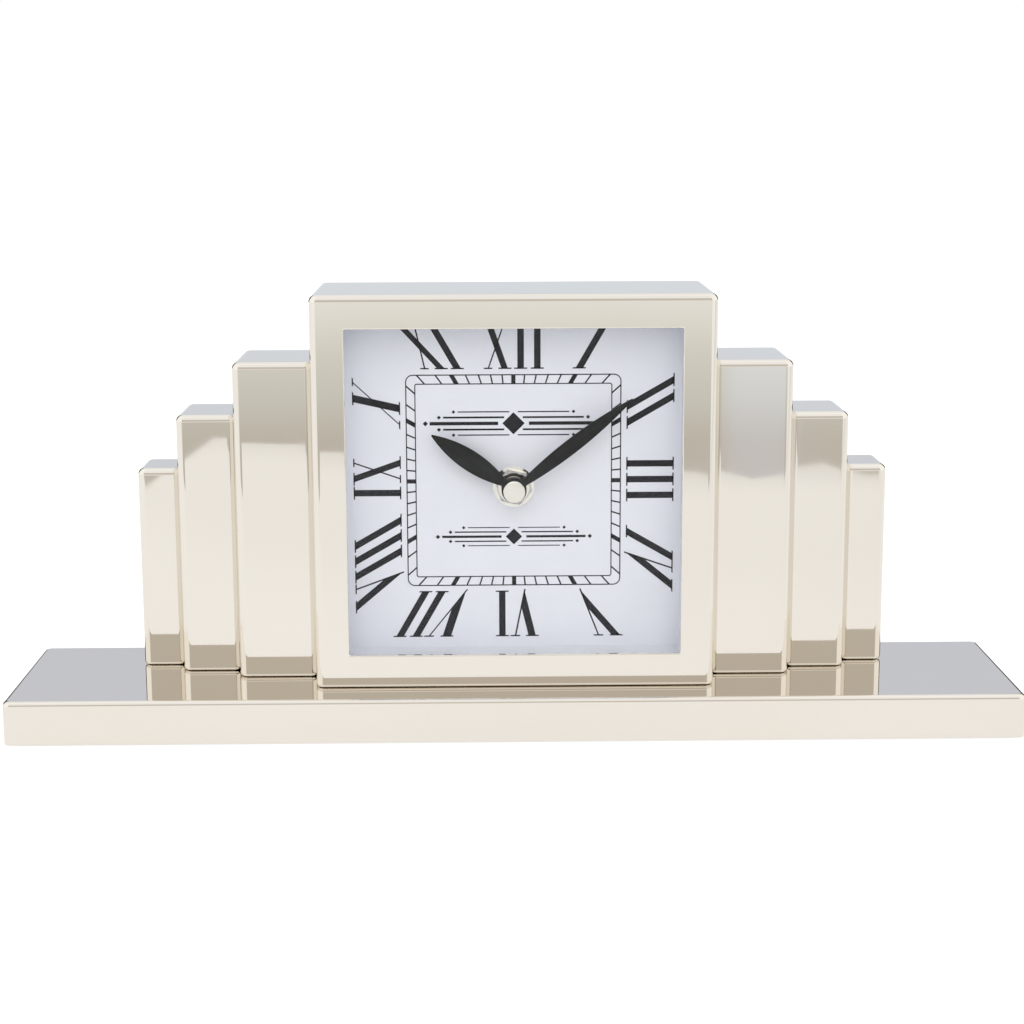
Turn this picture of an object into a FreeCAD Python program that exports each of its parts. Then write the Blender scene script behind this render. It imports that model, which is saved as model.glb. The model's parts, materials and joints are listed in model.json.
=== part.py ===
import FreeCAD, Part

import math
import os

Vec = FreeCAD.Vector

# Frame: X to the right, Y to the back, Z up, origin under the middle of the base. Sizes in mm.

# base
base_width = 380.0
base_depth = 81.0
base_height = 16.4
base_corner = 3.0
base_rim = 1.8
felt_thickness = 0.8
felt_inset = 2.5
sheet = 1.2
base_plate_thickness = 2.0

# case and the three stepped columns on each side
back_y = 36.5
case_width = 150.0
case_height = 148.0
case_front_y = -24.2
case_sheet = 1.5
block_corner = 3.2
block_rim = 2.6
block_foot = 1.6
seam = 0.2
columns = (
    # name, outer half width, height, front face
    ("inner", 105.6, 121.6, -8.0),
    ("middle", 128.6, 100.4, 1.8),
    ("outer", 145.3, 78.4, 11.0),
)

# window, glass and dial
opening_width = 124.6
opening_height = 122.8
opening_corner = 0.6
opening_lip = 0.5
glass_margin = 3.0
glass_thickness = 2.0
surround_wall = 2.0
dial_y = -7.0
dial_thickness = 1.0
dial_size = 141.0
dial_hole_radius = 4.2
dial_post_x = 68.9
dial_post_z = 68.9
dial_post_radius = 2.7

# back cover
cover_thickness = 2.0
cover_recess = 2.2
cover_gap = 0.3
window_half = 31.0
cover_screw_x = 67.0
cover_screw_z = 67.5
cover_block_half = 4.5
cover_block_depth = 8.0

# fasteners
m3_radius = 1.5
m4_radius = 2.0
thread_gap = 0.02
washer_thickness = 0.6

# quartz movement
movement_size = 56.0
movement_depth = 15.6
movement_wall = 1.2
rubber_thickness = 0.6
bushing_radius = 4.0
bushing_bore = 2.6
bushing_end_y = -12.8
washer_radius = 7.8
nut_across_flats = 12.4
nut_height = 2.4
nut_turn = 48.0
running_gap = 0.07
arbor_radius = 0.6
pivot_radius = 0.4
pivot_gap = 0.05
battery_radius = 7.0
battery_length = 49.2
battery_z_offset = -18.9
partition_drop = 10.4
split_depth = 5.4
minute_pipe_radius = 1.75
minute_thread_radius = 1.5
spigot_radius = 1.0
hour_nose_step = 0.25

# motion work: cannon pinion 10 -> minute work 30 / 8 -> hour wheel 32, knob pinion 12
motion_module = 0.5
cannon_teeth = 10
minute_work_teeth = 30
minute_work_leaves = 8
hour_teeth = 32
knob_teeth = 12

# going train: rotor 10 -> intermediate 60 / 10 -> seconds 50 / 8 -> third 60 / 8 -> centre 64
train_module = 0.25
fine_module = 0.2
rotor_leaves = 10
intermediate_teeth = 60
intermediate_leaves = 10
seconds_teeth = 50
train_leaves = 8
third_teeth = 60
centre_teeth = 64

# depth of each wheel layer, counted from the front shell's inner face
hour_layer = (0.2, 1.4)
minute_layer = (1.7, 2.9)
centre_layer = (3.3, 4.2)
third_layer = (4.8, 5.6)
seconds_layer = (6.1, 6.9)
intermediate_layer = (7.4, 8.2)
magnet_layer = (8.6, 11.2)
stator_layer = (9.5, 10.3)

# motor coil and stator
stator_left = -16.0
stator_right = 19.0
core_half_z = 1.5
coil_rise = 21.8
stator_pad = 4.6
rivet_radius = 0.8

# hands and their cap
hand_thickness = 0.4
hand_ridge = 0.3
hand_root_width = 2.5
hand_tip_width = 0.5
hour_length = 37.1
hour_hand_width = 7.75
hour_widest_at = 20.7
minute_length = 56.0
minute_hand_width = 5.6
minute_widest_at = 27.0
hub_radius = 4.7
cap_radius = 4.1
cap_front_y = -19.8
hour_hand_y = -13.9
minute_hand_y = -16.2
hour_hand_turn = 304.0
minute_hand_turn = 52.2

# derived places
base_bottom = felt_thickness
base_top = base_bottom + base_height
base_ceiling = base_top - sheet
case_top = base_top + case_height
axis_z = base_top + case_height / 2
glass_y = case_front_y + case_sheet
surround_y = glass_y + glass_thickness
dial_back_y = dial_y + dial_thickness
movement_y = dial_back_y + rubber_thickness
movement_inner_y = movement_y + movement_wall
movement_back_y = movement_y + movement_depth
movement_rear_inner_y = movement_back_y - movement_wall
movement_split_y = movement_y + split_depth
cover_y = back_y - cover_recess - cover_thickness
battery_z = axis_z + battery_z_offset
battery_y = movement_inner_y + 0.1 + battery_radius
partition_z = axis_z - partition_drop
coil_z = axis_z + coil_rise


def box(x0, x1, y0, y1, z0, z1):
    return Part.makeBox(x1 - x0, y1 - y0, z1 - z0, Vec(x0, y0, z0))


def post(radius, x, y, z0, z1):
    return Part.makeCylinder(radius, z1 - z0, Vec(x, y, z0), Vec(0, 0, 1))


def rod(radius, y0, y1, x=0.0, z=axis_z):
    return Part.makeCylinder(radius, y1 - y0, Vec(x, y0, z), Vec(0, 1, 0))


def ring(outer, inner, y0, y1, x=0.0, z=axis_z):
    return rod(outer, y0, y1, x, z).cut(rod(inner, y0, y1, x, z))


def fuse_all(shapes):
    return shapes[0].fuse(shapes[1:]).removeSplitter()


def edges_along(shape, axis):
    """Straight edges of a shape that run along one axis."""
    found = []
    for edge in shape.Edges:
        direction = edge.tangentAt(edge.FirstParameter)
        if abs(direction.dot(axis)) > 0.99 and isinstance(edge.Curve, Part.Line):
            found.append(edge)
    return found


def edges_at_height(shape, z):
    return [e for e in shape.Edges if abs(e.BoundBox.ZMin - z) < 0.01 and abs(e.BoundBox.ZMax - z) < 0.01]


def edges_at_depth(shape, y):
    return [e for e in shape.Edges if abs(e.BoundBox.YMin - y) < 0.01 and abs(e.BoundBox.YMax - y) < 0.01]


def upright_block(x0, x1, y0, y1, z0, z1, corner):
    """A block with rounded vertical corners."""
    block = box(x0, x1, y0, y1, z0, z1)
    return block.makeFillet(corner, edges_along(block, Vec(0, 0, 1)))


def panel(width, height, y0, y1, corner, x=0.0, z=axis_z):
    """A flat panel that faces front, with rounded corners."""
    plate = box(x - width / 2, x + width / 2, y0, y1, z - height / 2, z + height / 2)
    return plate.makeFillet(corner, edges_along(plate, Vec(0, 1, 0)))


def four_corners(half_x, half_z):
    return [(sx * half_x, axis_z + sz * half_z) for sx in (-1, 1) for sz in (-1, 1)]


def pan_screw_up(radius, x, y, head_z, length):
    """A pan-head screw that points up, with its head under head_z."""
    head = post(radius * 1.9, x, y, head_z - radius * 1.2, head_z)
    head = head.makeFillet(radius * 0.5, edges_at_height(head, head_z - radius * 1.2))
    slot = box(x - radius * 1.3, x + radius * 1.3, y - 0.3, y + 0.3,
               head_z - radius * 1.3, head_z - radius * 0.5)
    return head.fuse(post(radius, x, y, head_z, head_z + length)).cut(slot)


def pan_screw_forward(radius, x, z, head_y, length):
    """A pan-head screw that points to the front, with its head behind head_y."""
    head = rod(radius * 1.9, head_y, head_y + radius * 1.2, x, z)
    head = head.makeFillet(radius * 0.5, edges_at_depth(head, head_y + radius * 1.2))
    cross = []
    for half_x, half_z in ((radius, 0.25), (0.25, radius)):
        cross.append(box(x - half_x, x + half_x, head_y + radius * 0.5, head_y + radius * 1.3,
                         z - half_z, z + half_z))
    shank = rod(radius, head_y - length, head_y, x, z)
    return head.fuse(shank).cut(cross)


# ---- base ----

case_screw_places = [(side * 50.0, y) for side in (-1, 1) for y in (4.0, 24.0)]
base_post_places = [(x, y) for x in (-178.0, -62.0, 62.0, 178.0) for y in (-31.0, 31.0)]


def column_span(index, side):
    """Inner and outer X of one column."""
    inner = case_width / 2 if index == 0 else columns[index - 1][1]
    low = inner + seam
    high = columns[index][1]
    return (low, high) if side > 0 else (-high, -low)


def column_screw_places(index, side):
    low, high = column_span(index, side)
    middle_y = (columns[index][3] + back_y) / 2
    return [((low + high) / 2, middle_y + step) for step in (-6.0, 6.0)]


def all_column_screw_places():
    return [place for side in (-1, 1) for index in range(len(columns))
            for place in column_screw_places(index, side)]


def base_shell():
    half_x = base_width / 2
    half_y = base_depth / 2
    shell = upright_block(-half_x, half_x, -half_y, half_y, base_bottom, base_top, base_corner)
    shell = shell.makeFillet(base_rim, edges_at_height(shell, base_top))
    inside = upright_block(sheet - half_x, half_x - sheet, sheet - half_y, half_y - sheet,
                           base_bottom - 1.0, base_ceiling, base_corner - sheet)
    shell = shell.cut(inside)
    posts = [post(3.5, x, y, base_bottom + base_plate_thickness, base_ceiling) for x, y in base_post_places]
    shell = shell.fuse(posts)
    holes = [post(m3_radius + thread_gap, x, y, base_bottom, base_bottom + 10.0) for x, y in base_post_places]
    for x, y in case_screw_places + all_column_screw_places():
        holes.append(post(m4_radius + 0.25, x, y, base_ceiling - 1.0, base_top + 1.0))
    return shell.cut(holes)


def base_plate():
    edge = sheet + 0.25
    half_x = base_width / 2 - edge
    half_y = base_depth / 2 - edge
    plate = upright_block(-half_x, half_x, -half_y, half_y, base_bottom,
                          base_bottom + base_plate_thickness, base_corner - sheet)
    holes = []
    for x, y in base_post_places:
        holes.append(post(m3_radius + 0.2, x, y, base_bottom - 1.0, base_bottom + 3.0))
        holes.append(Part.makeCone(3.15, 1.6, 1.6, Vec(x, y, base_bottom), Vec(0, 0, 1)))
    return plate.cut(holes)


def base_plate_screws():
    screws = []
    for x, y in base_post_places:
        head = Part.makeCone(3.0, m3_radius, 1.5, Vec(x, y, base_bottom), Vec(0, 0, 1))
        shank = post(m3_radius, x, y, base_bottom + 1.5, base_bottom + 8.0)
        slot = box(x - 2.0, x + 2.0, y - 0.3, y + 0.3, base_bottom - 0.1, base_bottom + 0.6)
        screws.append(head.fuse(shank).cut(slot))
    return Part.makeCompound(screws)


def base_felt():
    half_x = base_width / 2 - felt_inset
    half_y = base_depth / 2 - felt_inset
    return upright_block(-half_x, half_x, -half_y, half_y, 0.0, felt_thickness, base_corner)


# ---- case and columns ----

def case_shell():
    half = case_width / 2
    shell = upright_block(-half, half, case_front_y, back_y, base_top, case_top, block_corner)
    shell = shell.makeFillet(block_rim, edges_at_height(shell, case_top))
    shell = shell.makeFillet(block_foot, edges_at_height(shell, base_top))
    inside = box(case_sheet - half, half - case_sheet, glass_y, back_y + 1.0,
                 base_top + case_sheet, case_top - case_sheet)
    inside = inside.makeFillet(1.2, edges_along(inside, Vec(0, 1, 0)))
    shell = shell.cut(inside)
    shell = shell.cut(panel(opening_width, opening_height, case_front_y - 1.0, glass_y + 0.5, opening_corner))
    lip = [e for e in edges_at_depth(shell, case_front_y)
           if e.BoundBox.ZMax < axis_z + opening_height / 2 + 0.1
           and e.BoundBox.ZMin > axis_z - opening_height / 2 - 0.1
           and abs(e.CenterOfMass.x) < opening_width / 2 + 0.1]
    shell = shell.makeFillet(opening_lip, lip)
    added = []
    for x, z in four_corners(dial_post_x, dial_post_z):
        added.append(rod(dial_post_radius, glass_y - 0.2, dial_y, x, z))
    for x, z in four_corners(cover_screw_x, cover_screw_z):
        side_x = half - case_sheet
        inner_x = cover_screw_x - cover_block_half
        sign = 1 if x > 0 else -1
        low, high = sorted((sign * inner_x, sign * (side_x + 0.3)))
        added.append(box(low, high, cover_y - cover_block_depth, cover_y,
                         z - cover_block_half, z + cover_block_half))
    for x, y in case_screw_places:
        added.append(post(5.0, x, y, base_top + case_sheet - 0.3, base_top + 7.0))
    shell = shell.fuse(added)
    holes = []
    for x, z in four_corners(dial_post_x, dial_post_z):
        holes.append(rod(m3_radius + thread_gap, dial_y - 8.0, dial_y + 0.1, x, z))
    for x, z in four_corners(cover_screw_x, cover_screw_z):
        holes.append(rod(m3_radius + thread_gap, cover_y - 9.0, cover_y + 0.1, x, z))
    for x, y in case_screw_places:
        holes.append(post(m4_radius + thread_gap, x, y, base_top - 0.1, base_top + 8.0))
    return shell.cut(holes)


def column_shell(index, side):
    low, high = column_span(index, side)
    height, front = columns[index][2:]
    top = base_top + height
    shell = upright_block(low, high, front, back_y, base_top, top, block_corner)
    shell = shell.makeFillet(block_rim, edges_at_height(shell, top))
    shell = shell.makeFillet(block_foot, edges_at_height(shell, base_top))
    inside = upright_block(low + sheet, high - sheet, front + sheet, back_y - sheet,
                           base_top - 1.0, top - sheet, block_corner - sheet)
    shell = shell.cut(inside)
    middle_y = (front + back_y) / 2
    bridge = box(low + 0.5, high - 0.5, middle_y - 10.0, middle_y + 10.0, base_top, base_top + 5.0)
    holes = [post(m4_radius + thread_gap, x, y, base_top - 1.0, base_top + 6.0)
             for x, y in column_screw_places(index, side)]
    return shell.fuse(bridge).cut(holes)


def frame_screws(places):
    return Part.makeCompound([pan_screw_up(m4_radius, x, y, base_ceiling - washer_thickness, 6.0)
                              for x, y in places])


def frame_washers():
    washers = []
    for x, y in case_screw_places + all_column_screw_places():
        disc = post(4.4, x, y, base_ceiling - washer_thickness, base_ceiling)
        washers.append(disc.cut(post(m4_radius + 0.2, x, y, base_ceiling - 1.0, base_ceiling + 1.0)))
    return Part.makeCompound(washers)


# ---- glass, surround, dial and back cover ----

def glass_pane():
    width = opening_width + 2 * glass_margin
    height = opening_height + 2 * glass_margin
    return panel(width, height, glass_y, surround_y, 1.5)


def dial_surround():
    width = opening_width + 2 * glass_margin
    height = opening_height + 2 * glass_margin
    outer = panel(width, height, surround_y, dial_y, 1.5)
    inner = panel(width - 2 * surround_wall, height - 2 * surround_wall, surround_y - 1, dial_y + 1, 0.8)
    return outer.cut(inner)


def dial_plate():
    plate = panel(dial_size, dial_size, dial_y, dial_back_y, 2.0)
    holes = [rod(dial_hole_radius, dial_y - 1.0, dial_back_y + 1.0)]
    for x, z in four_corners(dial_post_x, dial_post_z):
        holes.append(rod(m3_radius + 0.15, dial_y - 1.0, dial_back_y + 1.0, x, z))
    return plate.cut(holes)


def dial_screws():
    return Part.makeCompound([pan_screw_forward(m3_radius * 0.95, x, z, dial_back_y, 6.0)
                              for x, z in four_corners(dial_post_x, dial_post_z)])


def back_cover():
    width = case_width - 2 * case_sheet - 2 * cover_gap
    height = case_height - 2 * case_sheet - 2 * cover_gap
    plate = panel(width, height, cover_y, cover_y + cover_thickness, 1.5)
    window = panel(2 * window_half, 2 * window_half, cover_y - 1.0, cover_y + 3.0, 4.0)
    holes = [window]
    for x, z in four_corners(cover_screw_x, cover_screw_z):
        holes.append(rod(m3_radius + 0.2, cover_y - 1.0, cover_y + 3.0, x, z))
    return plate.cut(holes)


def back_cover_screws():
    return Part.makeCompound([pan_screw_forward(m3_radius, x, z, cover_y + cover_thickness, 8.0)
                              for x, z in four_corners(cover_screw_x, cover_screw_z)])


# ---- gears ----

def gear_outline(teeth, module, phase, x, z, y):
    """Closed outline of a clock wheel: slim straight-sided teeth, one of them centred on phase."""
    pitch_radius = teeth * module / 2
    root = pitch_radius - 1.15 * module
    tip = pitch_radius + 0.8 * module
    pitch_angle = 2 * math.pi / teeth
    profile = ((-0.26, root), (-0.19, pitch_radius), (-0.07, tip),
               (0.07, tip), (0.19, pitch_radius), (0.26, root))
    points = []
    for tooth in range(teeth):
        for offset, radius in profile:
            angle = math.radians(phase) + (tooth + offset) * pitch_angle
            points.append(Vec(x + radius * math.cos(angle), y, z + radius * math.sin(angle)))
    points.append(points[0])
    return points


def gear(teeth, module, phase, place, y0, y1):
    x, z = place
    outline = Part.makePolygon(gear_outline(teeth, module, phase, x, z, y0))
    return Part.Face(Part.Wire(outline)).extrude(Vec(0, y1 - y0, 0))


def meshed_phase(driver_teeth, driver_phase, driver_place, teeth, place):
    """Phase that sets a tooth gap of this wheel on the driver's tooth line."""
    towards = math.degrees(math.atan2(place[1] - driver_place[1], place[0] - driver_place[0]))
    driver_pitches = (towards - driver_phase) * driver_teeth / 360
    own_pitches = 0.5 - driver_pitches
    return towards + 180 - own_pitches * 360 / teeth


def around(place, distance, angle):
    turn = math.radians(angle)
    return (place[0] + distance * math.cos(turn), place[1] + distance * math.sin(turn))


def centre_distance(teeth_a, teeth_b, module):
    return (teeth_a + teeth_b) * module / 2


shaft_place = (0.0, axis_z)
minute_work_place = around(shaft_place, centre_distance(cannon_teeth, minute_work_teeth, motion_module), 0)
knob_place = around(minute_work_place, centre_distance(minute_work_teeth, knob_teeth, motion_module), 0)
third_place = around(shaft_place, centre_distance(train_leaves, centre_teeth, train_module), 160)
seconds_place = around(third_place, centre_distance(train_leaves, third_teeth, train_module), 75)
intermediate_distance = centre_distance(intermediate_leaves, seconds_teeth, train_module)
intermediate_place = around(seconds_place, intermediate_distance, -10)
rotor_place = around(intermediate_place, centre_distance(rotor_leaves, intermediate_teeth, fine_module), 0)


def layer(depths):
    return movement_inner_y + depths[0], movement_inner_y + depths[1]


def arbor(place, shapes):
    """Joins wheels to a stepped steel arbor that runs from the front shell to the back shell."""
    x, z = place
    shoulder = 0.15
    pivot = 0.7
    body = rod(arbor_radius, movement_inner_y + shoulder, movement_rear_inner_y - shoulder, x, z)
    front = rod(pivot_radius, movement_inner_y - pivot, movement_inner_y + shoulder, x, z)
    back = rod(pivot_radius, movement_rear_inner_y - shoulder, movement_rear_inner_y + pivot, x, z)
    return fuse_all([body, front, back] + shapes)


def minute_work_phase():
    return meshed_phase(cannon_teeth, 0.0, shaft_place, minute_work_teeth, minute_work_place)


def hour_wheel():
    y0, y1 = layer(hour_layer)
    phase = meshed_phase(minute_work_leaves, 0.0, minute_work_place, hour_teeth, shaft_place)
    wheel = gear(hour_teeth, motion_module, phase, shaft_place, y0, y1)
    seat_y = hour_hand_y + hand_thickness
    tube = rod(bushing_bore - running_gap, seat_y, y1)
    nose = rod(bushing_bore - running_gap - hour_nose_step, hour_hand_y - 0.4, seat_y)
    bore = rod(minute_pipe_radius + running_gap, hour_hand_y - 1.0, y1 + 1.0)
    return fuse_all([wheel, tube, nose]).cut(bore)


def cannon_pinion():
    y0, y1 = layer(minute_layer)
    pinion = gear(cannon_teeth, motion_module, 0.0, shaft_place, y0, y1)
    seat_y = minute_hand_y + hand_thickness
    pipe = rod(minute_pipe_radius, seat_y, y0 + 0.1)
    thread = rod(minute_thread_radius, minute_hand_y - 2.2, seat_y)
    spigot = rod(spigot_radius, y1 - 0.1, movement_rear_inner_y + 0.6)
    return fuse_all([pinion, pipe, thread, spigot])


def minute_work_wheel():
    y0, y1 = layer(minute_layer)
    leaf_y0, leaf_y1 = layer(hour_layer)
    wheel = gear(minute_work_teeth, motion_module, minute_work_phase(), minute_work_place, y0, y1)
    leaves = gear(minute_work_leaves, motion_module, 0.0, minute_work_place, leaf_y0, y0)
    return arbor(minute_work_place, [wheel, leaves])


def setting_knob():
    x, z = knob_place
    y0, y1 = layer(minute_layer)
    phase = meshed_phase(minute_work_teeth, minute_work_phase(), minute_work_place, knob_teeth, knob_place)
    pinion = gear(knob_teeth, motion_module, phase, knob_place, y0, y1)
    shaft = rod(1.5, y1 - 0.1, movement_back_y + 0.6, x, z)
    grip = gear(30, 0.3, 0.0, knob_place, movement_back_y + 0.5, movement_back_y + 3.4)
    crown = rod(3.6, movement_back_y + 3.3, movement_back_y + 3.9, x, z)
    return fuse_all([pinion, shaft, grip, crown])


# where one tooth of each wheel points, so that neighbours mesh at rest
train_phases = {
    "centre": 0.0,
    "third": 0.0,
    "third_leaves": meshed_phase(centre_teeth, 0.0, shaft_place, train_leaves, third_place),
    "seconds": 0.0,
    "seconds_leaves": meshed_phase(third_teeth, 0.0, third_place, train_leaves, seconds_place),
    "intermediate": 0.0,
    "intermediate_leaves": meshed_phase(seconds_teeth, 0.0, seconds_place,
                                        intermediate_leaves, intermediate_place),
    "rotor": meshed_phase(intermediate_teeth, 0.0, intermediate_place, rotor_leaves, rotor_place),
}


def centre_wheel():
    y0, y1 = layer(centre_layer)
    wheel = gear(centre_teeth, train_module, train_phases["centre"], shaft_place, y0, y1)
    hub = rod(2.0, y1 - 0.1, y1 + 0.4)
    bore = rod(spigot_radius + running_gap, y0 - 1.0, y1 + 3.0)
    return wheel.fuse(hub).cut(bore)


def train_wheel(name, teeth, module, place, wheel_layer, leaves, leaf_module, leaf_layer):
    """A wheel and its pinion on one arbor. The pinion fills the space up to the wheel."""
    wheel_y = layer(wheel_layer)
    leaf_y = layer(leaf_layer)
    wheel = gear(teeth, module, train_phases[name], place, wheel_y[0], wheel_y[1])
    pinion = gear(leaves, leaf_module, train_phases[name + "_leaves"], place, leaf_y[0], wheel_y[0])
    return arbor(place, [wheel, pinion])


def rotor_pinion():
    y0 = layer(intermediate_layer)[0]
    y1 = layer(magnet_layer)[1]
    leaves = gear(rotor_leaves, fine_module, train_phases["rotor"], rotor_place, y0, layer(magnet_layer)[0])
    x, z = rotor_place
    sleeve = rod(0.95, layer(magnet_layer)[0], y1, x, z)
    return arbor(rotor_place, [leaves, sleeve])


def rotor_magnet():
    y0, y1 = layer(magnet_layer)
    x, z = rotor_place
    return ring(2.9, 0.96, y0, y1, x, z)


# ---- coil and stator ----

def stator():
    y0, y1 = layer(stator_layer)
    bar = box(stator_left, stator_right, y0, y1, axis_z + 5.5, axis_z + 14.5)
    left = box(stator_left, stator_left + stator_pad, y0, y1, axis_z + 5.5, axis_z + 25.4)
    right = box(stator_right - stator_pad, stator_right, y0, y1, axis_z + 5.5, axis_z + 25.4)
    plate = fuse_all([bar, left, right])
    holes = [rod(3.3, y0 - 1, y1 + 1, rotor_place[0], rotor_place[1])]
    for x, z in (seconds_place, intermediate_place):
        holes.append(rod(1.4, y0 - 1, y1 + 1, x, z))
    for x in (stator_left + stator_pad / 2, stator_right - stator_pad / 2):
        holes.append(rod(rivet_radius, y0 - 1, y1 + 1, x, coil_z))
    return plate.cut(holes)


def coil_core():
    y1 = layer(stator_layer)[0]
    y0 = y1 - 0.8
    bar = box(stator_left, stator_right, y0, y1, coil_z - core_half_z, coil_z + core_half_z)
    holes = [rod(rivet_radius, y0 - 1, y1 + 1, x, coil_z)
             for x in (stator_left + stator_pad / 2, stator_right - stator_pad / 2)]
    return bar.cut(holes)


def coil_rivets():
    y0, y1 = layer(stator_layer)
    return Part.makeCompound([rod(rivet_radius - thread_gap, y0 - 0.8, y1, x, coil_z)
                              for x in (stator_left + stator_pad / 2, stator_right - stator_pad / 2)])


def along_x(radius, x0, x1, y, z):
    return Part.makeCylinder(radius, x1 - x0, Vec(x0, y, z), Vec(1, 0, 0))


def coil_parts():
    y = layer(stator_layer)[0] - 0.4
    x0 = stator_left + 5.0
    x1 = stator_right - 5.0
    flange = 0.9
    spool = along_x(2.1, x0, x1, y, coil_z)
    spool = spool.fuse([along_x(3.6, x0, x0 + flange, y, coil_z), along_x(3.6, x1 - flange, x1, y, coil_z)])
    slot = box(x0 - 1, x1 + 1, y - 0.45, y + 0.45, coil_z - core_half_z - 0.05, coil_z + core_half_z + 0.05)
    bobbin = spool.cut(slot)
    winding = along_x(3.3, x0 + flange + 0.05, x1 - flange - 0.05, y, coil_z)
    winding = winding.cut(along_x(2.12, x0, x1, y, coil_z))
    return bobbin, winding


# ---- movement housing, circuit and battery ----

def pivot_hole(place, radius, depth, y, direction):
    x, z = place
    end = y + direction * depth
    return rod(radius, min(y, end), max(y, end), x, z)


train_places = (third_place, seconds_place, intermediate_place, rotor_place, minute_work_place)


def movement_front_shell():
    half = movement_size / 2
    shell = panel(movement_size, movement_size, movement_y, movement_split_y, 2.0)
    bays = (
        (partition_z + 0.5, axis_z + half - movement_wall),
        (axis_z - half + movement_wall, partition_z - 0.5),
    )
    rooms = [box(movement_wall - half, half - movement_wall, movement_inner_y, movement_split_y + 1, z0, z1)
             for z0, z1 in bays]
    shell = shell.cut(rooms)
    shell = shell.fuse(rod(bushing_radius, bushing_end_y, movement_y + 0.5))
    holes = [rod(bushing_bore, bushing_end_y - 1, movement_inner_y + 1)]
    for place in train_places:
        holes.append(pivot_hole(place, pivot_radius + pivot_gap, 0.85, movement_inner_y, -1))
    return shell.cut(holes)


def movement_back_shell():
    half = movement_size / 2
    shell = panel(movement_size, movement_size, movement_split_y, movement_back_y, 2.0)
    train_room = box(movement_wall - half, half - movement_wall, movement_split_y - 1, movement_rear_inner_y,
                     partition_z + 0.5, axis_z + half - movement_wall)
    battery_room = box(movement_wall - half, half - movement_wall, movement_split_y - 1, movement_back_y + 1,
                       axis_z - half + movement_wall, partition_z - 0.5)
    shell = shell.cut([train_room, battery_room])
    knob_x, knob_z = knob_place
    holes = [rod(1.5 + running_gap, movement_rear_inner_y - 1, movement_back_y + 1, knob_x, knob_z)]
    for place in train_places:
        holes.append(pivot_hole(place, pivot_radius + pivot_gap, 0.85, movement_rear_inner_y, 1))
    holes.append(pivot_hole(shaft_place, spigot_radius + running_gap, 0.85, movement_rear_inner_y, 1))
    return shell.cut(holes)


def circuit_board():
    y1 = movement_rear_inner_y - 1.0
    board = box(-26.0, -16.6, y1 - 0.8, y1, axis_z - 9.0, axis_z + 14.0)
    chip = rod(2.4, y1 - 1.5, y1 - 0.7, -21.0, axis_z + 8.0)
    return board.fuse(chip)


def quartz_crystal():
    y = movement_rear_inner_y - 1.8 - 1.05
    can = Part.makeCylinder(1.0, 6.0, Vec(-21.0, y, axis_z - 6.0), Vec(0, 0, 1))
    return can.makeFillet(0.3, edges_at_height(can, axis_z))


def battery_contacts():
    """Two folded spring strips, one at each end of the battery bay."""
    half = movement_size / 2 - movement_wall
    strips = []
    for side in (-1, 1):
        wall = sorted((side * half, side * (half - 0.3)))
        back = box(wall[0], wall[1], movement_inner_y + 1.0, movement_back_y - 1.0,
                   battery_z - 4.0, battery_z + 4.0)
        tongue = sorted((side * (half - 0.2), side * (half - 1.4)))
        bump = box(tongue[0], tongue[1], battery_y - 2.0, battery_y + 2.0, battery_z - 2.5, battery_z + 2.5)
        strips.append(back.fuse(bump).removeSplitter())
    return Part.makeCompound(strips)


def battery():
    x0 = -battery_length / 2 - 0.65
    x1 = battery_length / 2 - 0.65
    body = along_x(battery_radius, x0, x1, battery_y, battery_z)
    ends = [e for e in body.Edges if isinstance(e.Curve, Part.Circle)]
    body = body.makeFillet(0.6, ends)
    button = along_x(2.75, x1 - 0.1, x1 + 1.3, battery_y, battery_z)
    return body.fuse(button).removeSplitter()


def rubber_washer():
    return ring(10.0, bushing_radius + 0.1, dial_back_y, movement_y)


def dial_washer():
    return ring(washer_radius, bushing_radius + 0.1, dial_y - washer_thickness, dial_y)


def dial_nut():
    y1 = dial_y - washer_thickness
    y0 = y1 - nut_height
    corner = nut_across_flats / math.sqrt(3)
    points = []
    for step in range(7):
        angle = math.radians(60 * step + nut_turn)
        points.append(Vec(corner * math.cos(angle), y0, axis_z + corner * math.sin(angle)))
    body = Part.Face(Part.makePolygon(points)).extrude(Vec(0, nut_height, 0))
    bevel = Part.makeCone(nut_across_flats / 2 - 0.3, nut_across_flats / 2 + 2.2, 2.5,
                          Vec(0, y0, axis_z), Vec(0, 1, 0))
    bevel = bevel.fuse(rod(nut_across_flats / 2 + 2.2, y0 + 2.5, y1 + 0.5))
    return body.common(bevel).cut(rod(bushing_radius + thread_gap, y0 - 1, y1 + 1))


# ---- hands ----

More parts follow.
